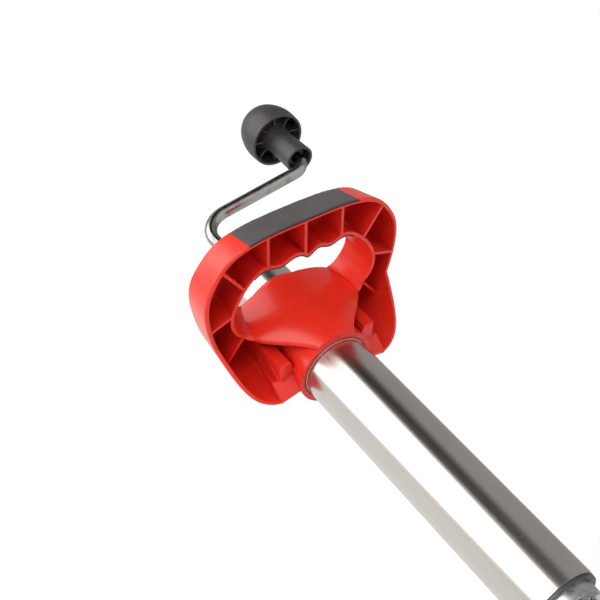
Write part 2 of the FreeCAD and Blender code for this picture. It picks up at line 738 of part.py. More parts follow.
def crank_bush():
    """Flanged bush in the cap's neck; the crank turns in it."""
    barrel = disc(CRANK_BUSH_R, TUBE_TOP, NECK_TOP)
    flange = disc(CAP_NECK_R, NECK_TOP, BUSH_FLANGE_TOP)
    bore = disc(CRANK_R + RUNNING_FIT, TUBE_TOP - OVERSHOOT, BUSH_FLANGE_TOP + OVERSHOOT)
    return fuse([barrel, flange]).cut(bore)


def bearing_seat():
    """Thick plate under the cap that takes the spindle's thrust."""
    seat = ring(RACE_BORE, TUBE_BORE - SEAT_FIT, SEAT_BOTTOM, TUBE_TOP)
    return cut_rivet_holes(seat)


def ball_ring(pitch_r, height, count):
    """Loose balls on a circle."""
    balls = []
    for index in range(count):
        angle = 2 * math.pi * index / count
        centre = Vector(pitch_r * math.cos(angle), pitch_r * math.sin(angle), height)
        balls.append(Part.makeSphere(BALL_R, centre))
    return balls


def ball_cage(inner, outer, pitch_r, height, count):
    """Flat ring that keeps the balls apart."""
    cage = ring(inner, outer, height - CAGE_THICK / 2, height + CAGE_THICK / 2)
    for index in range(count):
        angle = 2 * math.pi * index / count
        x = pitch_r * math.cos(angle)
        y = pitch_r * math.sin(angle)
        cage = cage.cut(disc(BALL_R + CAGE_GAP, height - CAGE_THICK, height + CAGE_THICK, x, y))
    return cage


def lower_guide_bush():
    """Plastic bush in the tube's lower end that guides the leg."""
    top = TUBE_BOTTOM + BUSH_LENGTH
    barrel = disc(TUBE_BORE - SEAT_FIT, TUBE_BOTTOM, top)
    flange = disc(TUBE_R - BUSH_FLANGE_INSET, TUBE_BOTTOM - BUSH_FLANGE, TUBE_BOTTOM)
    bore = disc(LEG_R + RUNNING_FIT, TUBE_BOTTOM - BUSH_FLANGE - OVERSHOOT, top + OVERSHOOT)
    return fuse([barrel, flange]).cut(bore)


def guide_key():
    """Key welded in the tube's bore; the leg's slot runs on it and stops the leg turning."""
    top = KEY_BOTTOM + KEY_LENGTH
    key = block(-KEY_WIDTH / 2, KEY_WIDTH / 2, -TUBE_R, -TUBE_BORE + KEY_DEPTH, KEY_BOTTOM, top)
    return key.common(disc(TUBE_BORE - SEAT_FIT / 2, KEY_BOTTOM, top))


# ---------------------------------------------------------------- crank and spindle
def crank_path():
    """Centre line of the crank's bar: up the tube's axis, out along the arm, up into the knob."""
    arm = Vector(CRANK_ARM_X, CRANK_ARM_Y, 0)
    outward = Vector(arm).normalize()
    low_corner = Vector(0, 0, CRANK_ARM_Z)
    high_corner = low_corner + arm
    bend = math.sqrt(0.5)

    a = low_corner - UP * LOWER_BEND_R
    c = low_corner + outward * LOWER_BEND_R
    low_centre = a + outward * LOWER_BEND_R
    b = low_centre + (UP - outward) * (LOWER_BEND_R * bend)
    d = high_corner - outward * UPPER_BEND_R
    f = high_corner + UP * UPPER_BEND_R
    high_centre = d + UP * UPPER_BEND_R
    e = high_centre + (outward - UP) * (UPPER_BEND_R * bend)
    start = Vector(0, 0, SOCKET_BOTTOM)
    end = Vector(CRANK_ARM_X, CRANK_ARM_Y, CRANK_END_Z)
    return Part.Wire([
        Part.makeLine(start, a),
        Part.Arc(a, b, c).toShape(),
        Part.makeLine(c, d),
        Part.Arc(d, e, f).toShape(),
        Part.makeLine(f, end),
    ])


def crank_bar():
    """Round bar bent into the crank."""
    path = crank_path()
    start = Vector(0, 0, SOCKET_BOTTOM)
    section = Part.Wire(Part.makeCircle(CRANK_R, start, UP))
    bar = path.makePipeShell([section], True, False)
    bar = bar.cut(cross_pin_hole(crank_pin_height()))
    return bar.cut(cross_pin_hole(collar_pin_height()))


def crank_pin_height():
    return HEAD_TOP - CRANK_PIN_DROP


def collar_pin_height():
    return COLLAR_BOTTOM + COLLAR_LENGTH / 2


def stop_pin_height():
    return STOP_TOP - STOP_LENGTH / 2


def cross_pin_hole(height):
    """Hole for a pin across the tube's axis."""
    reach = SPINDLE_HEAD_R + OVERSHOOT
    return rod(PIN_R + SEAT_FIT, Vector(0, -reach, height), Vector(0, reach, height))


def cross_pin(half_length, height):
    """Spring pin driven across the crank's bar, with its slot."""
    pin = rod(PIN_R, Vector(0, -half_length, height), Vector(0, half_length, height))
    past = half_length + OVERSHOOT
    bore = rod(PIN_R - PIN_WALL, Vector(0, -past, height), Vector(0, past, height))
    slit = block(-PIN_SLIT / 2, PIN_SLIT / 2, -past, past, height, height + PIN_R + OVERSHOOT)
    return pin.cut(bore).cut(slit)


def thrust_collar():
    """Collar pinned on the bar above the cap; it keeps the crank from dropping in."""
    collar = ring(CRANK_R + SEAT_FIT, COLLAR_R, COLLAR_BOTTOM, COLLAR_BOTTOM + COLLAR_LENGTH)
    return collar.cut(cross_pin_hole(collar_pin_height()))


def spindle():
    """Lifting spindle with a socket head for the crank's bar."""
    head = disc(SPINDLE_HEAD_R, HEAD_BOTTOM, HEAD_TOP)
    screw = disc(SPINDLE_R, SPINDLE_END, HEAD_BOTTOM + OVERSHOOT)
    body = fuse([head, screw])
    socket = disc(CRANK_R + SEAT_FIT, SOCKET_BOTTOM - SEAT_FIT, HEAD_TOP + OVERSHOOT)
    body = body.cut(socket).cut(cross_pin_hole(crank_pin_height()))
    return body.cut(cross_pin_hole(stop_pin_height()))


def end_stop():
    """Ring pinned on the spindle's end; it stops the nut at full reach."""
    stop = ring(SPINDLE_R + SEAT_FIT, STOP_R, STOP_TOP - STOP_LENGTH, STOP_TOP)
    return stop.cut(cross_pin_hole(stop_pin_height()))


# ---------------------------------------------------------------- knob
def knob():
    """Hollow bell-shaped knob with a stem that turns on the crank's end."""
    rim = KNOB_RIM_Z
    top = KNOB_TOP_Z
    x = CRANK_ARM_X
    y = CRANK_ARM_Y
    bell = bell_solid(KNOB_R, rim, top)
    cavity = bell_solid(KNOB_R - KNOB_WALL, rim - OVERSHOOT, top - KNOB_WALL)
    shell = bell.cut(cavity)
    flare = [(STEM_NECK_R + wider, rim + height) for wider, height in KNOB_FLARE]
    crown = top - KNOB_WALL - OVERSHOOT
    side = [(STEM_END_R, KNOB_START_Z)] + flare + [(flare[-1][0], crown)]
    stem = turned([(0.0, KNOB_START_Z)] + side + [(0.0, crown)], Vector(x, y, 0), UP)
    stem = stem.common(bell_and_stem(bell))
    neck_bore = STEM_NECK_R - KNOB_WALL
    core = turned([
        (0.0, KNOB_START_Z - OVERSHOOT), (STEM_END_R - KNOB_WALL, KNOB_START_Z - OVERSHOOT),
        (neck_bore, rim - KNOB_WALL), (neck_bore, KNOB_HUB_TOP),
        (CLIP_R + OVERSHOOT, KNOB_HUB_TOP + KNOB_POCKET), (0.0, KNOB_HUB_TOP + KNOB_POCKET),
    ], Vector(x, y, 0), UP)
    hub = ring(CRANK_R + RUNNING_FIT, KNOB_HUB_R, KNOB_START_Z + KNOB_HUB_RECESS, KNOB_HUB_TOP, x, y)
    spokes = []
    for index in range(KNOB_RIBS):
        angle = math.radians(360 / KNOB_RIBS * (index + 0.5))
        spokes.append(radial_rib(x, y, angle, KNOB_HUB_R - OVERSHOOT, STEM_NECK_R - OVERSHOOT,
                                 KNOB_START_Z + KNOB_HUB_RECESS, KNOB_HUB_TOP))
    ribs = []
    for index in range(KNOB_RIBS):
        angle = math.radians(360 / KNOB_RIBS * index)
        ribs.append(radial_rib(x, y, angle, STEM_NECK_R - OVERSHOOT, KNOB_R, rim + KNOB_RIB_DROP, top))
    scoop = Part.makeTorus(KNOB_SCOOP_PITCH_R, KNOB_SCOOP_R, Vector(x, y, rim - KNOB_SCOOP_DROP), UP)
    ribs = [wall.common(bell).cut(scoop) for wall in ribs]
    body = fuse([shell, stem] + ribs).cut(core)
    body = fuse([body, hub] + [wall.common(core) for wall in spokes])
    bore = disc(CRANK_R + RUNNING_FIT, KNOB_START_Z - OVERSHOOT, KNOB_HUB_TOP + OVERSHOOT, x, y)
    return body.cut(bore)


def bell_and_stem(bell):
    """Space that the stem may fill: inside the bell, and below its rim."""
    lower = disc(STEM_END_R + OVERSHOOT, KNOB_START_Z - OVERSHOOT, KNOB_RIM_Z + OVERSHOOT,
                 CRANK_ARM_X, CRANK_ARM_Y)
    return fuse([bell, lower])


def bell_solid(radius, bottom, top):
    """Bell with nearly upright sides and a round crown."""
    depth = top - bottom
    x = CRANK_ARM_X
    y = CRANK_ARM_Y
    waist = Vector(x + radius, y, bottom + depth * KNOB_WAIST_HEIGHT)
    shoulder = Vector(x + radius * KNOB_SHOULDER[0], y, bottom + depth * KNOB_SHOULDER[1])
    crown = Vector(x, y, top)
    foot = Vector(x + radius * KNOB_FOOT, y, bottom)
    base = Vector(x, y, bottom)
    side = Part.BSplineCurve()
    side.interpolate([foot, waist, shoulder, crown],
                     InitialTangent=Vector(0.04, 0, 1), FinalTangent=Vector(-1, 0, 0))
    wire = Part.Wire([Part.makeLine(base, foot), side.toShape(), Part.makeLine(crown, base)])
    return Part.Face(wire).revolve(base, UP, 360)


def radial_rib(x, y, angle, inner, outer, bottom, top):
    """Thin upright wall that runs out from an axis."""
    out = Vector(math.cos(angle), math.sin(angle), 0)
    start = Vector(x, y, 0) + out * inner
    end = Vector(x, y, 0) + out * outer
    side = Vector(-out.y, out.x, 0) * (KNOB_RIB_THICK / 2)
    corners = [start + side, end + side, end - side, start - side]
    return prism([(c.x, c.y) for c in corners], bottom, top)


def knob_clip():
    """Push-on washer at the bar's end that keeps the knob on."""
    bottom = KNOB_HUB_TOP + BODY_GAP
    return ring(CRANK_R + SEAT_FIT, CLIP_R, bottom, bottom + CLIP_THICK, CRANK_ARM_X, CRANK_ARM_Y)


# ---------------------------------------------------------------- leg
def inner_tube():
    """Sliding leg with the slot that runs on the key."""
    tube = ring(LEG_BORE, LEG_R, LEG_BOTTOM, LEG_TOP)
    slot_half = KEY_WIDTH / 2 + KEY_SIDE_GAP
    slot_bottom = KEY_BOTTOM - KEY_END_GAP
    slot_top = KEY_BOTTOM + KEY_LENGTH + TRAVEL + KEY_END_GAP
    return tube.cut(block(-slot_half, slot_half, -TUBE_R, -LEG_BORE / 2, slot_bottom, slot_top))


def spindle_nut():
    """Long nut welded in the leg's top end."""
    return ring(SPINDLE_R + RUNNING_FIT, LEG_BORE - SEAT_FIT, NUT_BOTTOM, NUT_TOP)


def upper_guide_ring():
    """Plastic ring on the leg's top end that slides in the outer tube."""
    top = LEG_TOP - GUIDE_RING_DROP
    return ring(LEG_R + SEAT_FIT, TUBE_BORE - RUNNING_FIT, top - GUIDE_RING_LENGTH, top)


def foot_plug():
    """Plug welded in the leg's lower end that holds the king pin."""
    return ring(KING_R + SEAT_FIT, LEG_BORE - SEAT_FIT, LEG_BOTTOM, LEG_BOTTOM + PLUG_THICK)


def king_pin():
    """Bolt that the fork swivels on, with its head inside the leg."""
    seat = LEG_BOTTOM + PLUG_THICK
    head = hex_prism(KING_HEX, Vector(0, 0, seat), Vector(0, 0, seat + KING_HEAD))
    return fuse([head, disc(KING_R, KING_END, seat + OVERSHOOT)])


def king_nut():
    """Lock nut under the fork's crown."""
    low = KING_NUT_TOP - KING_NUT
    nut = hex_prism(KING_HEX, Vector(0, 0, low), Vector(0, 0, KING_NUT_TOP))
    return nut.cut(disc(KING_R + SEAT_FIT, low - OVERSHOOT, KING_NUT_TOP + OVERSHOOT))


# ---------------------------------------------------------------- fork
def tangent_point(point, centre, radius, side):
    """Where a line from a point touches a circle, in the YZ plane."""
    gap_y = centre[0] - point[0]
    gap_z = centre[1] - point[1]
    distance = math.hypot(gap_y, gap_z)
    heading = math.atan2(gap_z, gap_y)
    spread = math.asin(radius / distance)
    length = math.sqrt(distance ** 2 - radius ** 2)
    angle = heading + side * spread
    return (point[0] + length * math.cos(angle), point[1] + length * math.sin(angle))


def fork():
    """Pressed fork: crown plate and two arms bent down to the axle."""
    deep = AXLE_Z - FORK_EYE_R - FORK_PLATE
    back_y = -TRAIL - FORK_EYE_R - FORK_PLATE
    front_y = FORK_HALF_DEPTH + FORK_PLATE
    outside = block(-FORK_HALF_WIDTH, FORK_HALF_WIDTH, back_y, front_y, deep, FORK_TOP)
    inside = block(-FORK_HALF_GAP, FORK_HALF_GAP, back_y - OVERSHOOT, front_y + OVERSHOOT,
                   deep - OVERSHOOT, FORK_UNDER)
    outside = outside.makeFillet(FORK_BEND_R, long_edges(outside, FORK_TOP))
    inside = inside.makeFillet(FORK_BEND_R - FORK_PLATE, long_edges(inside, FORK_UNDER))
    channel = outside.cut(inside)

    eye = (-TRAIL, AXLE_Z)
    front = (FORK_HALF_DEPTH, FORK_TOP - FORK_CROWN_DROP)
    back = (-FORK_HALF_DEPTH - FORK_CROWN_BACK, FORK_TOP - FORK_CROWN_DROP)
    front_touch = tangent_point(front, eye, FORK_EYE_R, 1)
    back_touch = tangent_point(back, eye, FORK_EYE_R, -1)
    side = [
        (-FORK_HALF_DEPTH, FORK_TOP), (FORK_HALF_DEPTH, FORK_TOP), front,
        front_touch, eye, back_touch, back,
    ]
    far = FORK_HALF_WIDTH + OVERSHOOT
    corners = [Vector(-far, y, z) for y, z in side]
    plate = Part.Face(Part.makePolygon(corners + [corners[0]])).extrude(Vector(2 * far, 0, 0))
    round_eye = rod(FORK_EYE_R, axle_point(-far), axle_point(far))
    body = channel.common(fuse([plate, round_eye]))
    body = body.cut(rod(AXLE_R + RUNNING_FIT, axle_point(-far), axle_point(far)))
    return body.cut(disc(KING_R + RUNNING_FIT, FORK_UNDER - OVERSHOOT, FORK_TOP + OVERSHOOT))


def long_edges(box, height):
    """The two long edges of a box at a height, along Y."""
    found = []
    for edge in box.Edges:
        bounds = edge.BoundBox
        level = abs(bounds.ZMin - height) < 0.01 and bounds.ZLength < 0.01
        if level and bounds.YLength > TRAIL:
            found.append(edge)
    return found


def axle_point(x):
    return Vector(x, -TRAIL, AXLE_Z)


def axle_bolt():
    """Hex bolt through both arms and the spacer."""
    seat = FORK_HALF_WIDTH + WASHER_THICK
    head = hex_prism(AXLE_HEX, axle_point(seat), axle_point(seat + AXLE_HEAD))
    shank = rod(AXLE_R, axle_point(-seat - KING_NUT - KING_TAIL), axle_point(seat + OVERSHOOT))
    return fuse([head, shank])


def axle_nut():
    """Lock nut on the axle bolt."""
    seat = FORK_HALF_WIDTH + WASHER_THICK
    nut = hex_prism(AXLE_HEX, axle_point(-seat), axle_point(-seat - KING_NUT))
    hole = rod(AXLE_R + SEAT_FIT, axle_point(-seat + OVERSHOOT), axle_point(-seat - KING_NUT - OVERSHOOT))
    return nut.cut(hole)


def axle_washers():
    """One washer outside each arm."""
    washers = []
    for side in (-1, 1):
        start = axle_point(side * FORK_HALF_WIDTH)
        end = axle_point(side * (FORK_HALF_WIDTH + WASHER_THICK))
        washers.append(rod(WASHER_R, start, end).cut(rod(AXLE_R + SEAT_FIT, start, end)))
    return washers


def axle_spacer():
    """Tube between the arms; the wheel's bushes turn on it."""
    outside = rod(SPACER_R, axle_point(-FORK_HALF_GAP), axle_point(FORK_HALF_GAP))
    return outside.cut(rod(AXLE_R + SEAT_FIT, axle_point(-FORK_HALF_GAP), axle_point(FORK_HALF_GAP)))


# ---------------------------------------------------------------- wheel
def rim_half():
    """Pressed half of the wheel's rim, on the right side."""
    profile = [
        (HUB_TUBE_R + SEAT_FIT, 0.0),
        (RIM_SEAT_R - RIM_CORNER, 0.0),
        (RIM_SEAT_R, RIM_CORNER),
        (RIM_SEAT_R, RIM_HALF_WIDTH - RIM_CORNER),
        (RIM_FLANGE_R, RIM_HALF_WIDTH),
        (RIM_FLANGE_R - RIM_PLATE / 2, RIM_HALF_WIDTH + RIM_PLATE),
        (RIM_SEAT_R - RIM_PLATE, RIM_HALF_WIDTH - RIM_PLATE / 2),
        (RIM_SEAT_R - RIM_PLATE, RIM_CORNER + RIM_PLATE),
        (RIM_SEAT_R - RIM_CORNER - RIM_PLATE, RIM_PLATE),
        (HUB_TUBE_R + SEAT_FIT, RIM_PLATE),
    ]
    half = turned(profile, axle_point(0), ACROSS)
    for point in rim_bolt_points():
        through = ACROSS * (RIM_PLATE + OVERSHOOT)
        half = half.cut(rod(RIM_BOLT_R + SEAT_FIT, point - through, point + through))
    return half


def rim_bolt_points():
    points = []
    for index in range(RIM_BOLT_COUNT):
        angle = math.radians(45 + 360 / RIM_BOLT_COUNT * index)
        offset = Vector(0, math.cos(angle), math.sin(angle)) * RIM_BOLT_CIRCLE
        points.append(axle_point(0) + offset)
    return points


def rim_bolts():
    """Bolts that clamp the two rim halves."""
    bolts = []
    for point in rim_bolt_points():
        seat = point + ACROSS * RIM_PLATE
        head = hex_prism(RIM_BOLT_HEX, seat, seat + ACROSS * RIM_BOLT_HEAD)
        shank = rod(RIM_BOLT_R, point - ACROSS * (RIM_PLATE + RIM_NUT + RIM_BOLT_TAIL), seat)
        bolts.append(fuse([head, shank]))
    return bolts


def rim_nuts():
    """Nuts on the rim bolts."""
    nuts = []
    for point in rim_bolt_points():
        seat = point - ACROSS * RIM_PLATE
        end = seat - ACROSS * RIM_NUT
        nuts.append(hex_prism(RIM_BOLT_HEX, seat, end).cut(rod(RIM_BOLT_R + SEAT_FIT, seat, end)))
    return nuts


def tyre():
    """Solid rubber tyre with three tread grooves."""
    seat = RIM_SEAT_R + SEAT_FIT
    right = [
        (seat, RIM_HALF_WIDTH - RIM_CORNER - TYRE_FIT),
        (RIM_FLANGE_R + TYRE_FIT, RIM_HALF_WIDTH - TYRE_FIT),
        (RIM_FLANGE_R + RIM_CORNER, TYRE_HALF_WIDTH - TYRE_LIP),
    ]
    right += [(WHEEL_R - depth, TYRE_HALF_WIDTH - inset) for depth, inset in TYRE_SIDE]
    left = [(r, -x) for r, x in reversed(right)]
    body = turned(right + left, axle_point(0), ACROSS)
    for offset in TREAD_GROOVES:
        low = axle_point(offset - GROOVE_WIDTH / 2)
        high = axle_point(offset + GROOVE_WIDTH / 2)
        groove = rod(WHEEL_R + OVERSHOOT, low, high).cut(rod(WHEEL_R - GROOVE_DEPTH, low, high))
        body = body.cut(groove)
    return body


def hub_tube():
    """Steel tube through both rim halves."""
    end = HUB_HALF_LENGTH - BUSH_FACE
    outside = rod(HUB_TUBE_R, axle_point(-end), axle_point(end))
    return outside.cut(rod(BUSH_R + SEAT_FIT, axle_point(-HUB_HALF_LENGTH), axle_point(HUB_HALF_LENGTH)))


def hub_bushes():
    """Flanged plastic bush in each end of the hub."""
    bushes = []
    for side in (-1, 1):
        inner = axle_point(side * (HUB_HALF_LENGTH - BUSH_DEPTH))
        face = axle_point(side * (HUB_HALF_LENGTH - BUSH_FACE))
        end = axle_point(side * HUB_HALF_LENGTH)
        body = fuse([rod(BUSH_R, inner, face), rod(HUB_TUBE_R, face, end)])
        bushes.append(body.cut(rod(SPACER_R + RUNNING_FIT, inner, end)))
    return bushes


# ---------------------------------------------------------------- everything
def main():
    os.makedirs("parts", exist_ok=True)
    frame, outer_pad, finger_pad = handle_parts()
    save("handle_frame", frame)
    save("grip_pad_outer", outer_pad)
    save("grip_pad_finger", finger_pad)
    save("handle_screws", handle_screws())
    save("outer_tube", outer_tube())
    save("top_cap", top_cap())
    save("cap_rivets", cap_rivets())
    save("crank_bush", crank_bush())
    save("bearing_seat", bearing_seat())
    save("race_fixed", ring(RACE_BORE, RACE_R, FIXED_RACE_BOTTOM, SEAT_BOTTOM))
    pitch = (RACE_BORE + RACE_R) / 2
    save("thrust_balls", ball_ring(pitch, BALL_Z, BALL_COUNT))
    save("ball_cage", ball_cage(RACE_BORE + CAGE_INSET, RACE_R - CAGE_INSET, pitch, BALL_Z, BALL_COUNT))
    save("lower_guide_bush", lower_guide_bush())
    save("guide_key", guide_key())

    save("crank_bar", crank_bar())
    save("crank_pin", cross_pin(SPINDLE_HEAD_R - PIN_INSET, crank_pin_height()))
    save("thrust_collar", thrust_collar())
    save("collar_pin", cross_pin(COLLAR_R, collar_pin_height()))
    save("race_turning", ring(CRANK_R + SEAT_FIT, RACE_R, HEAD_TOP, TURNING_RACE_TOP))
    save("spindle", spindle())
    save("end_stop", end_stop())
    save("stop_pin", cross_pin(STOP_R - PIN_INSET, stop_pin_height()))
    save("knob", knob())
    save("knob_clip", knob_clip())

    save("inner_tube", inner_tube())
    save("spindle_nut", spindle_nut())
    save("upper_guide_ring", upper_guide_ring())
    save("foot_plug", foot_plug())
    save("king_pin", king_pin())
    save("king_washer", ring(KING_R + SEAT_FIT, WASHER_R, KING_NUT_TOP, KING_WASHER_TOP))
    save("king_nut", king_nut())
    save("swivel_race_upper", ring(KING_R + SEAT_FIT, SWIVEL_RACE_R, UPPER_RACE_BOTTOM, LEG_BOTTOM))
    save("swivel_balls", ball_ring(SWIVEL_BALL_PITCH_R, SWIVEL_BALL_Z, SWIVEL_BALLS))

    save("fork", fork())
    save("swivel_race_lower", ring(KING_R + RUNNING_FIT, SWIVEL_RACE_R, FORK_TOP, LOWER_RACE_TOP))
    save("axle_bolt", axle_bolt())
    save("axle_nut", axle_nut())
    save("axle_washers", axle_washers())
    save("axle_spacer", axle_spacer())

    right_rim = rim_half()
    save("rim_right", right_rim)
    save("rim_left", mirrored(right_rim))
    save("rim_bolts", rim_bolts())
    save("rim_nuts", rim_nuts())
    save("tyre", tyre())
    save("hub_tube", hub_tube())
    save("hub_bushes", hub_bushes())


main()
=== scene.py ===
"""Looks of the jockey wheel with its red manoeuvring handle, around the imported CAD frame.

The CAD nodes keep their shape and get procedural materials. The two soft grip pads and the tyre
are built here. Units are metres, in the CAD frame: Z is the tube's axis."""

import json
import math

import bmesh
import bpy
from mathutils import Matrix, Vector

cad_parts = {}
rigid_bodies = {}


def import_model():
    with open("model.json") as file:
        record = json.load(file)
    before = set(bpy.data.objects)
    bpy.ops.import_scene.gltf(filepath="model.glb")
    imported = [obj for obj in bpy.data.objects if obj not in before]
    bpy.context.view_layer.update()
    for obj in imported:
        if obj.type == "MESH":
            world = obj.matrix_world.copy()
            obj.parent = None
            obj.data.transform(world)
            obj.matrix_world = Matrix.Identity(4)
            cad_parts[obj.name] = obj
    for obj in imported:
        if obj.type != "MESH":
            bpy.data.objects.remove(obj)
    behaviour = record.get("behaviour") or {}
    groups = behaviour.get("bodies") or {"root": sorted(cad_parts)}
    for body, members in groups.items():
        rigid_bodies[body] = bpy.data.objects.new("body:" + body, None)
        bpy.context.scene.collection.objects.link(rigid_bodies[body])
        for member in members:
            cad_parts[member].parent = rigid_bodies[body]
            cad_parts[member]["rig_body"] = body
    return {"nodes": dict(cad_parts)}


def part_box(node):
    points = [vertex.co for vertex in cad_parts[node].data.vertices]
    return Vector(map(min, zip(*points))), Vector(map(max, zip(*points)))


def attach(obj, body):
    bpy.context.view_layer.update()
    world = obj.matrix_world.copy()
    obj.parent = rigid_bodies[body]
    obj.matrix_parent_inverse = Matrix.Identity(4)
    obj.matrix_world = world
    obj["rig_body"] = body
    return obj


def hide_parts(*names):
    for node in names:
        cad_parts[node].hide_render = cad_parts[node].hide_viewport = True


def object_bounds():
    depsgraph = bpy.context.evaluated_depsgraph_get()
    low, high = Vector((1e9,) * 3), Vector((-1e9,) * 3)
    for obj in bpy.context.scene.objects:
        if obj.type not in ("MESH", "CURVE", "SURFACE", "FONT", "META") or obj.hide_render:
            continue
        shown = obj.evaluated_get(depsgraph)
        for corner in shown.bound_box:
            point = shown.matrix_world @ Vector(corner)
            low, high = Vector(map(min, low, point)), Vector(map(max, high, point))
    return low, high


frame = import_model()
CAD_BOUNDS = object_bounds()

# ---------------------------------------------------------------- camera
LENS_MM = 66.0
SENSOR_MM = 36.0
EYE = Vector((0.3797, 0.6698, -0.4910))
TOWARDS_EYE = Vector((0.4114, 0.6882, -0.5976))
EYE_UP = Vector((-0.3814, 0.7255, 0.5729))

# ---------------------------------------------------------------- studio
ROOM_GREY = 0.36
KEY_DIRECTION = (0.55, 0.56, 0.62)
KEY_STRENGTH = 2.6
KEY_EDGE = (0.79, 0.845)
SIDE_DIRECTION = (0.55, -0.72, 0.30)
SIDE_STRENGTH = 0.55
SIDE_EDGE = (0.2, 0.9)
DARK_DIRECTION = (-0.10, 0.80, 0.60)
DARK_STRENGTH = -0.34     # takes light away from the room in this direction
DARK_EDGE = (0.80, 0.97)
ROOM_TINT = (1.0, 0.985, 0.965, 1.0)
FILL_PLACE = (0.75, 1.55, -0.20)
FILL_TARGET = (0.0, 0.0, 0.05)
FILL_SIZE = 1.0
FILL_POWER = 8.0
FILL_TINT = (1.0, 0.975, 0.95)
FLOOR_HALF = 6.0

# ---------------------------------------------------------------- tyre (metres)
RIM_PLATE = 0.0026
RIM_FLANGE_HEIGHT = 0.0070
GROOVE_OFFSET = 0.013     # from the tread's middle groove to the outer ones
GROOVE_HALF = 0.0015
GROOVE_DEPTH = 0.0025
GROOVE_TAPER = 0.0003     # how much a groove narrows to its floor
GROOVE_LIP = 0.0006       # width of the rounding at a groove's edge
GROOVE_LIP_TOP = 0.0002   # depth where that rounding starts and where it ends
GROOVE_LIP_FOOT = 0.0007
LUG_COUNT = 60            # cross sipes on each shoulder of the tread
STEPS_PER_LUG = 6
SIPE_DEPTH = 0.0012
RING_COUNT = 3            # raised rings moulded into the side wall
RING_START = 0.0060
RING_PITCH = 0.0045
RING_HEIGHT = 0.0007
SHARP_DEGREES = 32
KEEP_INSIDE = 0.00005     # the built piece stays this far inside the CAD tyre
# the seat and lip on the rim: height above the seat or flange, inset from the rim or the side
SEAT_INSET = 0.0036
FLANGE_GAP = (0.0002, 0.0001)
LIP = [(0.0018, 0.0016), (0.0035, 0.0010)]
# the shoulder: depth below the tread, inset from the side
SHOULDER_FOOT = (0.0120, 0.0011)
SHOULDER = [(0.0085, 0.0022), (0.0058, 0.0038), (0.0038, 0.0058), (0.0020, 0.0088), (0.0008, 0.0115)]

# ---------------------------------------------------------------- pads: voxel, smoothing passes
OUTER_PAD_MELT = (0.0006, 4)
FINGER_PAD_MELT = (0.0004, 2)

# ---------------------------------------------------------------- colours (linear)
RED = (0.80, 0.027, 0.013)
# darker red of the pockets: painted shade
RED_POCKET_SHADE = (0.58, 0.010, 0.009)
# lighter red of the edges: part wear, part painted highlight
RED_WEAR_AND_HIGHLIGHT = (0.80, 0.085, 0.055)
PAD = (0.062, 0.053, 0.054)
PAD_DARK = (0.046, 0.039, 0.040)
# near-black of the pad's downward faces: painted shade
PAD_SHADED_UNDERSIDE = (0.016, 0.014, 0.014)
KNOB = (0.038, 0.035, 0.036)
KNOB_LIGHT = (0.085, 0.080, 0.080)
TUBE = (0.66, 0.635, 0.605)
TUBE_DULL = (0.56, 0.535, 0.505)
CHROME = (0.40, 0.40, 0.395)
CHROME_DULL = (0.25, 0.25, 0.25)
ZINC = (0.66, 0.67, 0.68)
ZINC_DULL = (0.46, 0.47, 0.48)
STEEL = (0.52, 0.51, 0.49)
STEEL_DULL = (0.34, 0.33, 0.31)
BEARING = (0.62, 0.62, 0.63)
BUSH = (0.030, 0.030, 0.032)
BUSH_LIGHT = (0.055, 0.055, 0.058)
RIM_GREY = (0.55, 0.56, 0.56)
RIM_SHADE = (0.42, 0.43, 0.43)
RUBBER = (0.022, 0.022, 0.023)
RUBBER_DUST = (0.075, 0.072, 0.068)


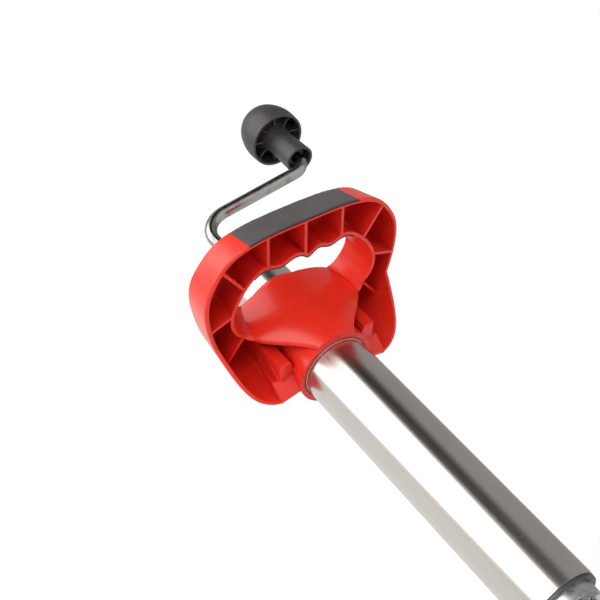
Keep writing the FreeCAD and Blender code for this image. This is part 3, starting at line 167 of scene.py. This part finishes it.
# ---------------------------------------------------------------- material building blocks
class Finish:
    """One Principled material, with helpers that add its procedural nodes."""

    def __init__(self, name):
        self.material = bpy.data.materials.new(name)
        self.material.use_nodes = True
        self.tree = self.material.node_tree
        self.tree.nodes.clear()
        output = self.tree.nodes.new("ShaderNodeOutputMaterial")
        self.shader = self.tree.nodes.new("ShaderNodeBsdfPrincipled")
        self.join(self.shader.outputs["BSDF"], output.inputs["Surface"])
        self.place = self.tree.nodes.new("ShaderNodeTexCoord").outputs["Object"]

    def join(self, source, target):
        self.tree.links.new(source, target)

    def put(self, target, value):
        """Link a socket, or set a plain value."""
        if isinstance(value, bpy.types.NodeSocket):
            self.join(value, target)
        elif isinstance(value, tuple) and len(value) == 3 and target.type == "RGBA":
            target.default_value = (*value, 1.0)
        else:
            target.default_value = value

    def stretched(self, along_x, along_y, along_z):
        """Object coordinates scaled per axis."""
        node = self.tree.nodes.new("ShaderNodeMapping")
        node.inputs["Scale"].default_value = (along_x, along_y, along_z)
        self.join(self.place, node.inputs["Vector"])
        return node.outputs["Vector"]

    def noise(self, scale, detail=2.0, place=None, distortion=0.0):
        node = self.tree.nodes.new("ShaderNodeTexNoise")
        self.join(place or self.place, node.inputs["Vector"])
        node.inputs["Scale"].default_value = scale
        node.inputs["Detail"].default_value = detail
        node.inputs["Distortion"].default_value = distortion
        return node.outputs["Fac"]

    def cells(self, scale):
        """Distance to the nearest of scattered points."""
        node = self.tree.nodes.new("ShaderNodeTexVoronoi")
        self.join(self.place, node.inputs["Vector"])
        node.inputs["Scale"].default_value = scale
        return node.outputs["Distance"]

    def span(self, value, low, high, to_low=0.0, to_high=1.0):
        """Smooth step of a value between two levels."""
        node = self.tree.nodes.new("ShaderNodeMapRange")
        node.interpolation_type = "SMOOTHSTEP"
        self.join(value, node.inputs["Value"])
        for socket, level in zip(("From Min", "From Max", "To Min", "To Max"),
                                 (low, high, to_low, to_high)):
            node.inputs[socket].default_value = level
        return node.outputs["Result"]

    def mix(self, share, first, second):
        node = self.tree.nodes.new("ShaderNodeMix")
        node.data_type = "RGBA"
        self.put(node.inputs[0], share)
        self.put(node.inputs[6], first)
        self.put(node.inputs[7], second)
        return node.outputs[2]

    def math(self, operation, first, second=0.0):
        node = self.tree.nodes.new("ShaderNodeMath")
        node.operation = operation
        self.put(node.inputs[0], first)
        self.put(node.inputs[1], second)
        return node.outputs[0]

    def recess(self, distance):
        """1 in the open and towards 0 deep between walls."""
        node = self.tree.nodes.new("ShaderNodeAmbientOcclusion")
        node.samples = 6
        node.inputs["Distance"].default_value = distance
        return node.outputs["AO"]

    def round_edges(self, radius):
        """Normal with its edges rounded, and a mask that is 1 on those edges."""
        soft = self.tree.nodes.new("ShaderNodeBevel")
        soft.samples = 4
        soft.inputs["Radius"].default_value = radius
        plain = self.tree.nodes.new("ShaderNodeNewGeometry").outputs["Normal"]
        dot = self.tree.nodes.new("ShaderNodeVectorMath")
        dot.operation = "DOT_PRODUCT"
        self.join(soft.outputs["Normal"], dot.inputs[0])
        self.join(plain, dot.inputs[1])
        mask = self.span(dot.outputs["Value"], 0.80, 0.985, 1.0, 0.0)
        return soft.outputs["Normal"], mask

    def bump(self, height, depth, strength=1.0, under=None):
        node = self.tree.nodes.new("ShaderNodeBump")
        node.inputs["Strength"].default_value = strength
        node.inputs["Distance"].default_value = depth
        self.join(height, node.inputs["Height"])
        if under is not None:
            self.join(under, node.inputs["Normal"])
        return node.outputs["Normal"]

    def finish(self, colour, roughness, normal, **fixed):
        """Join the main sockets; fixed holds plain values for the shader's other sockets."""
        self.put(self.shader.inputs["Base Color"], colour)
        self.put(self.shader.inputs["Roughness"], roughness)
        self.join(normal, self.shader.inputs["Normal"])
        for name, value in fixed.items():
            self.shader.inputs[name.replace("_", " ")].default_value = value
        return self.material


# ---------------------------------------------------------------- materials
def glossy_red():
    """Moulded polypropylene: soft gloss, fine orange peel, painted shade deep in the pockets."""
    f = Finish("red_moulding")
    edge_normal, edge = f.round_edges(0.0007)
    cloud = f.span(f.noise(9.0, 1.0), 0.25, 0.80)
    colour = f.mix(cloud, RED, tuple(c * 0.93 for c in RED))
    # Painted shade: deep between walls, found by ambient occlusion, the red turns darker.
    colour = f.mix(f.span(f.recess(0.030), 0.20, 0.90, 0.8, 0.0), colour, RED_POCKET_SHADE)
    # Painted highlight on the rims, mixed with wear: edges and creases go a quarter of the way to a
    # lighter red.
    colour = f.mix(f.math("MULTIPLY", edge, 0.25), colour, RED_WEAR_AND_HIGHLIGHT)
    roughness = f.span(f.noise(55.0, 4.0), 0.30, 0.72, 0.20, 0.28)
    waves = f.bump(f.noise(30.0, 1.0), 0.00020, 0.20, edge_normal)
    peel = f.bump(f.noise(1500.0, 2.0), 0.00002, 0.15, waves)
    return f.finish(colour, roughness, peel, Specular_IOR_Level=0.42, Coat_Weight=0.08,
                    Coat_Roughness=0.14)


def soft_black():
    """Soft overmoulded grip: matt, finely stippled, dusty on its high spots, with painted shade on
    its edges and on faces that point down.
    """
    f = Finish("soft_grip")
    edge_normal, edge = f.round_edges(0.0006)
    rubbed = f.span(f.noise(32.0, 5.0), 0.38, 0.66)
    colour = f.mix(rubbed, PAD, PAD_DARK)
    # Painted shade: edges and creases are darkened almost halfway to near-black, for a dark line
    # along the pad's rim.
    colour = f.mix(f.math("MULTIPLY", edge, 0.45), colour, (0.030, 0.028, 0.028))
    # Painted shade: faces that point down are darkened towards a near-black.
    facing = f.tree.nodes.new("ShaderNodeSeparateXYZ")
    f.join(f.tree.nodes.new("ShaderNodeTexCoord").outputs["Normal"], facing.inputs["Vector"])
    colour = f.mix(f.span(facing.outputs["Z"], -0.75, -0.35, 1.0, 0.0), colour, PAD_SHADED_UNDERSIDE)
    stipple = f.noise(1700.0, 2.0)
    roughness = f.span(stipple, 0.30, 0.70, 0.52, 0.66)
    normal = f.bump(stipple, 0.00006, 0.40, edge_normal)
    return f.finish(colour, roughness, normal, Specular_IOR_Level=0.45, Sheen_Weight=0.12,
                    Sheen_Roughness=0.5)


def grained_grey():
    """Spark-eroded grain on dark polyamide, with a soft sheen."""
    f = Finish("knob_moulding")
    edge_normal, edge = f.round_edges(0.0005)
    cloud = f.span(f.noise(45.0, 4.0), 0.35, 0.68)
    colour = f.mix(cloud, KNOB, tuple(c * 0.82 for c in KNOB))
    colour = f.mix(f.math("MULTIPLY", edge, 0.6), colour, KNOB_LIGHT)
    grain = f.noise(1300.0, 3.0)
    roughness = f.span(grain, 0.30, 0.70, 0.40, 0.54)
    normal = f.bump(grain, 0.00005, 0.45, edge_normal)
    return f.finish(colour, roughness, normal, Specular_IOR_Level=0.55)


def drawn_tube():
    """Plated drawn tube: fine lines along its length, satin sheen, a few dark pits and marks."""
    f = Finish("satin_tube")
    edge_normal, edge = f.round_edges(0.0004)
    lines = f.noise(1.0, 3.0, f.stretched(900.0, 900.0, 7.0))
    bloom = f.span(f.noise(18.0, 4.0, distortion=0.3), 0.40, 0.80, 0.0, 0.5)
    colour = f.mix(bloom, TUBE, TUBE_DULL)
    colour = f.mix(f.span(lines, 0.35, 0.75, 0.0, 0.08), colour, TUBE_DULL)
    pits = f.math("MULTIPLY", f.span(f.cells(75.0), 0.020, 0.055, 1.0, 0.0),
                  f.span(f.noise(30.0, 1.0), 0.56, 0.62))
    colour = f.mix(f.math("MULTIPLY", pits, 0.8), colour, (0.10, 0.085, 0.075))
    colour = f.mix(f.math("MULTIPLY", edge, 0.3), colour, (0.80, 0.79, 0.77))
    roughness = f.math("ADD", f.span(lines, 0.30, 0.72, 0.20, 0.24), f.math("MULTIPLY", pits, 0.3))
    grooves = f.bump(lines, 0.000004, 0.04, edge_normal)
    normal = f.bump(f.noise(40.0, 2.0), 0.00003, 0.05, grooves)
    return f.finish(colour, roughness, normal, Metallic=1.0)


def plated(name, bright, dull, rough_low, rough_high, streak=240.0, radius=0.0004):
    """Electroplated or bare steel: cloudy plating, small scuffs, brighter worn edges."""
    f = Finish(name)
    edge_normal, edge = f.round_edges(radius)
    cloud = f.span(f.noise(70.0, 5.0, distortion=0.6), 0.36, 0.70)
    colour = f.mix(cloud, bright, dull)
    colour = f.mix(f.math("MULTIPLY", edge, 0.4), colour, tuple(min(1.0, c * 1.25) for c in bright))
    scuffs = f.noise(streak, 6.0, distortion=1.2)
    roughness = f.span(scuffs, 0.30, 0.72, rough_low, rough_high)
    normal = f.bump(scuffs, 0.00003, 0.20, edge_normal)
    return f.finish(colour, roughness, normal, Metallic=1.0)


def slick_plastic():
    """Dark acetal of the guides and bushes."""
    f = Finish("bush_acetal")
    edge_normal, edge = f.round_edges(0.0004)
    colour = f.mix(f.span(f.noise(90.0, 3.0), 0.35, 0.70), BUSH, BUSH_LIGHT)
    colour = f.mix(f.math("MULTIPLY", edge, 0.5), colour, (0.09, 0.09, 0.095))
    roughness = f.span(f.noise(220.0, 4.0), 0.30, 0.70, 0.32, 0.46)
    normal = f.bump(f.noise(900.0, 2.0), 0.00003, 0.3, edge_normal)
    return f.finish(colour, roughness, normal)


def powder_coat():
    """Silver-grey powder coat of the pressed rim, with light orange peel, road dust and painted
    shade in its recesses.
    """
    f = Finish("rim_coat")
    edge_normal, edge = f.round_edges(0.0008)
    dust = f.span(f.noise(24.0, 5.0), 0.45, 0.75)
    colour = f.mix(dust, RIM_GREY, RIM_SHADE)
    # Painted shade: deep between walls, found by ambient occlusion, the grey turns darker.
    colour = f.mix(f.span(f.recess(0.02), 0.2, 0.9, 0.5, 0.0), colour, (0.25, 0.24, 0.23))
    colour = f.mix(f.math("MULTIPLY", edge, 0.3), colour, (0.68, 0.68, 0.68))
    roughness = f.span(f.noise(130.0, 4.0), 0.30, 0.70, 0.30, 0.45)
    normal = f.bump(f.noise(700.0, 2.0), 0.00006, 0.35, edge_normal)
    return f.finish(colour, roughness, normal, Metallic=0.35)


def rolled_rubber():
    """Solid rubber: matt black, dusty where it runs on the ground."""
    f = Finish("tyre_compound")
    edge_normal, edge = f.round_edges(0.0006)
    dust = f.math("MULTIPLY", f.span(f.noise(60.0, 6.0), 0.42, 0.70), 0.45)
    colour = f.mix(dust, RUBBER, RUBBER_DUST)
    colour = f.mix(f.math("MULTIPLY", edge, 0.4), colour, RUBBER_DUST)
    grain = f.noise(1100.0, 3.0)
    roughness = f.span(grain, 0.30, 0.70, 0.62, 0.80)
    normal = f.bump(grain, 0.00008, 0.4, edge_normal)
    return f.finish(colour, roughness, normal, Specular_IOR_Level=0.4)


FINISHES = {
    "handle_red": glossy_red(),
    "grip_black": soft_black(),
    "knob_grey": grained_grey(),
    "tube_steel": drawn_tube(),
    "crank_chrome": plated("crank_plating", CHROME, CHROME_DULL, 0.12, 0.26, 160.0),
    "zinc_steel": plated("zinc_pressing", ZINC, ZINC_DULL, 0.24, 0.42, 120.0, 0.0008),
    "zinc_fastener": plated("zinc_fastener_plating", ZINC, ZINC_DULL, 0.20, 0.36),
    "bare_steel": plated("bare_machined_steel", STEEL, STEEL_DULL, 0.26, 0.44),
    "bearing_steel": plated("ground_bearing_steel", BEARING, ZINC_DULL, 0.10, 0.20),
    "bush_plastic": slick_plastic(),
    "rim_paint": powder_coat(),
    "tyre_rubber": rolled_rubber(),
}


def slot_of(node):
    """The record's material slot of a CAD node, from the name its packed material carries."""
    return frame["nodes"][node].material_slots[0].material.name


NODE_SLOT = {node: slot_of(node) for node in frame["nodes"]}
for node_name, shown in frame["nodes"].items():
    for material_slot in shown.material_slots:
        material_slot.material = FINISHES[NODE_SLOT[node_name]]


# ---------------------------------------------------------------- pieces made here
def body_of_node(node):
    """The body that a CAD node rides on."""
    return frame["nodes"][node]["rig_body"]


def new_piece(name, mesh, node):
    """A shown piece in a CAD node's place, with the node's finish and body."""
    mesh.materials.clear()
    mesh.materials.append(FINISHES[NODE_SLOT[node]])
    piece = bpy.data.objects.new(name, mesh)
    bpy.context.scene.collection.objects.link(piece)
    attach(piece, body_of_node(node))
    return piece


def applied_mesh(source, modifiers):
    """Mesh of a source object's shape after a list of (type, settings) modifiers."""
    holder = bpy.data.objects.new("holder", source.data.copy())
    bpy.context.scene.collection.objects.link(holder)
    for kind, settings in modifiers:
        modifier = holder.modifiers.new(kind.lower(), kind)
        for key, value in settings.items():
            setattr(modifier, key, value)
    graph = bpy.context.evaluated_depsgraph_get()
    mesh = bpy.data.meshes.new_from_object(holder.evaluated_get(graph))
    bpy.data.objects.remove(holder)
    return mesh


def soft_pad(name, node, voxel, passes):
    """A soft moulding: the CAD pad remeshed, with its edges melted round."""
    mesh = applied_mesh(frame["nodes"][node], [
        ("WELD", {"merge_threshold": 0.00001}),
        ("REMESH", {"mode": "VOXEL", "voxel_size": voxel, "use_smooth_shade": True}),
        ("SMOOTH", {"factor": 0.5, "iterations": passes}),
    ])
    pad = new_piece(name, mesh, node)
    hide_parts(node)
    return pad


def node_corners(node):
    """The lowest and highest corner of a CAD node's box."""
    low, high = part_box(node)
    return Vector(low), Vector(high)


def tyre_section(outer, half, seat, seat_half):
    """Half profile of the tyre from the rim seat to the tread's middle: (radius, offset, sipe)."""
    flange = seat + RIM_FLANGE_HEIGHT
    above_flange, inside_rim = FLANGE_GAP
    side = [
        (seat, seat_half - SEAT_INSET, False),
        (flange + above_flange, seat_half - inside_rim, False),
    ]
    side += [(flange + rise, half - inset, False) for rise, inset in LIP]
    for step in range(RING_COUNT):
        ring_r = flange + RING_START + RING_PITCH * step
        side += [
            (ring_r, half - RING_HEIGHT, False),
            (ring_r + 0.0005, half, False),
            (ring_r + 0.0017, half, False),
            (ring_r + 0.0022, half - RING_HEIGHT, False),
        ]
    foot_depth, foot_inset = SHOULDER_FOOT
    side.append((outer - foot_depth, half - foot_inset, False))
    shoulder = [(outer - depth, half - inset, True) for depth, inset in SHOULDER]
    tread = []
    for centre in (GROOVE_OFFSET, 0.0):
        edge = centre + GROOVE_HALF
        tread += [
            (outer - GROOVE_LIP_TOP, edge + GROOVE_LIP, False),
            (outer - GROOVE_LIP_FOOT, edge, False),
            (outer - GROOVE_DEPTH, edge - GROOVE_TAPER, False),
        ]
        if centre > 0:
            edge = centre - GROOVE_HALF
            tread += [
                (outer - GROOVE_DEPTH, edge + GROOVE_TAPER, False),
                (outer - GROOVE_LIP_FOOT, edge, False),
                (outer - GROOVE_LIP_TOP, edge - GROOVE_LIP, False),
                (outer, edge / 2, False),
            ]
    return side + shoulder + tread


def build_tyre(node):
    """Solid rubber tyre: ribbed tread with cross sipes, moulded rings on its side walls."""
    low, high = node_corners(node)
    centre = (low + high) / 2
    outer = (high.z - low.z) / 2 - KEEP_INSIDE
    half = (high.x - low.x) / 2 - KEEP_INSIDE
    right_low, right_high = node_corners("rim_right")
    seat_half = right_high.x - centre.x - RIM_PLATE
    flange = (right_high.z - right_low.z) / 2
    right = tyre_section(outer, half, flange - RIM_FLANGE_HEIGHT, seat_half)
    profile = right + [(r, -x, has_sipe) for r, x, has_sipe in reversed(right)]
    shape = bmesh.new()
    rings = []
    steps = LUG_COUNT * STEPS_PER_LUG
    for step in range(steps):
        angle = 2 * math.pi * step / steps
        in_sipe = step % STEPS_PER_LUG == 0
        ring = []
        for radius, offset, has_sipe in profile:
            drop = SIPE_DEPTH if in_sipe and has_sipe else 0.0
            reach = radius - drop
            ring.append(shape.verts.new((centre.x + offset - math.copysign(drop, offset),
                                         centre.y + reach * math.cos(angle),
                                         centre.z + reach * math.sin(angle))))
        rings.append(ring)
    count = len(profile)
    for step, ring in enumerate(rings):
        following = rings[(step + 1) % steps]
        for index in range(count):
            after = (index + 1) % count
            shape.faces.new((ring[index], following[index], following[after], ring[after]))
    bmesh.ops.recalc_face_normals(shape, faces=shape.faces)
    mesh = bpy.data.meshes.new("tyre_moulded")
    shape.to_mesh(mesh)
    shape.free()
    mesh.polygons.foreach_set("use_smooth", [True] * len(mesh.polygons))
    mesh.set_sharp_from_angle(angle=math.radians(SHARP_DEGREES))
    piece = new_piece("tyre_moulded", mesh, node)
    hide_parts(node)


build_tyre("tyre")
soft_pad("grip_pad_soft", "grip_pad_outer", *OUTER_PAD_MELT)
soft_pad("finger_pad_soft", "grip_pad_finger", *FINGER_PAD_MELT)


# ---------------------------------------------------------------- studio
def light_room():
    """White for the eye; a grey room with soft patches of light for lighting and reflections."""
    world = bpy.data.worlds.new("studio")
    bpy.context.scene.world = world
    world.use_nodes = True
    tree = world.node_tree
    tree.nodes.clear()
    direction = tree.nodes.new("ShaderNodeTexCoord").outputs["Generated"]

    def lobe(towards, low, high, height):
        """Soft-edged round patch of light in one direction."""
        dot = tree.nodes.new("ShaderNodeVectorMath")
        dot.operation = "DOT_PRODUCT"
        tree.links.new(direction, dot.inputs[0])
        dot.inputs[1].default_value = Vector(towards).normalized()
        ramp = tree.nodes.new("ShaderNodeMapRange")
        ramp.interpolation_type = "SMOOTHSTEP"
        tree.links.new(dot.outputs["Value"], ramp.inputs["Value"])
        levels = (low, high, 0.0, height)
        for socket, level in zip(("From Min", "From Max", "To Min", "To Max"), levels):
            ramp.inputs[socket].default_value = level
        return ramp.outputs["Result"]

    total = None
    for patch in (
        lobe(KEY_DIRECTION, *KEY_EDGE, KEY_STRENGTH),
        lobe(SIDE_DIRECTION, *SIDE_EDGE, SIDE_STRENGTH),
        lobe(DARK_DIRECTION, *DARK_EDGE, DARK_STRENGTH),
    ):
        node = tree.nodes.new("ShaderNodeMath")
        node.operation = "ADD"
        tree.links.new(patch, node.inputs[0])
        if total is None:
            node.inputs[1].default_value = ROOM_GREY
        else:
            tree.links.new(total, node.inputs[1])
        total = node.outputs[0]

    room = tree.nodes.new("ShaderNodeBackground")
    room.inputs["Color"].default_value = ROOM_TINT
    tree.links.new(total, room.inputs["Strength"])
    white = tree.nodes.new("ShaderNodeBackground")
    white.inputs["Color"].default_value = (1.0, 1.0, 1.0, 1.0)
    choose = tree.nodes.new("ShaderNodeMixShader")
    seen = tree.nodes.new("ShaderNodeLightPath").outputs["Is Camera Ray"]
    output = tree.nodes.new("ShaderNodeOutputWorld")
    tree.links.new(seen, choose.inputs[0])
    tree.links.new(room.outputs[0], choose.inputs[1])
    tree.links.new(white.outputs[0], choose.inputs[2])
    tree.links.new(choose.outputs[0], output.inputs["Surface"])


def lay_floor(height):
    """Plain pale floor under the wheel."""
    mesh = bpy.data.meshes.new("floor")
    corners = [(-FLOOR_HALF, -FLOOR_HALF), (FLOOR_HALF, -FLOOR_HALF),
               (FLOOR_HALF, FLOOR_HALF), (-FLOOR_HALF, FLOOR_HALF)]
    mesh.from_pydata([(x, y, height) for x, y in corners], [], [(0, 1, 2, 3)])
    f = Finish("pale_floor")
    colour = f.mix(f.span(f.noise(1.5, 3.0), 0.3, 0.7), (0.84, 0.84, 0.84), (0.80, 0.80, 0.80))
    mesh.materials.append(f.finish(colour, 0.7, f.bump(f.noise(300.0), 0.0002, 0.1)))
    floor = bpy.data.objects.new("floor", mesh)
    bpy.context.scene.collection.objects.link(floor)


def place_camera():
    """The eye below and in front of the handle, looking up along the tube."""
    back = TOWARDS_EYE.normalized()
    right = EYE_UP.cross(back).normalized()
    up = back.cross(right)
    data = bpy.data.cameras.new("eye")
    data.lens = LENS_MM
    data.sensor_width = SENSOR_MM
    data.clip_start = 0.01
    data.clip_end = 50.0
    camera = bpy.data.objects.new("eye", data)
    turn = Matrix((right, up, back)).transposed().to_4x4()
    camera.matrix_world = Matrix.Translation(EYE) @ turn
    bpy.context.scene.collection.objects.link(camera)
    bpy.context.scene.camera = camera


def add_soft_box(name, place, target, size, power):
    """Square area light that faces a target."""
    data = bpy.data.lights.new(name, "AREA")
    data.shape = "SQUARE"
    data.size = size
    data.energy = power
    data.color = FILL_TINT
    lamp = bpy.data.objects.new(name, data)
    lamp.location = place
    lamp.rotation_mode = "QUATERNION"
    lamp.rotation_quaternion = (Vector(target) - Vector(place)).to_track_quat("-Z", "Y")
    bpy.context.scene.collection.objects.link(lamp)


light_room()
add_soft_box("front_fill", FILL_PLACE, FILL_TARGET, FILL_SIZE, FILL_POWER)
lay_floor(CAD_BOUNDS[0].z)
place_camera()
bpy.context.scene.view_settings.view_transform = "Standard"
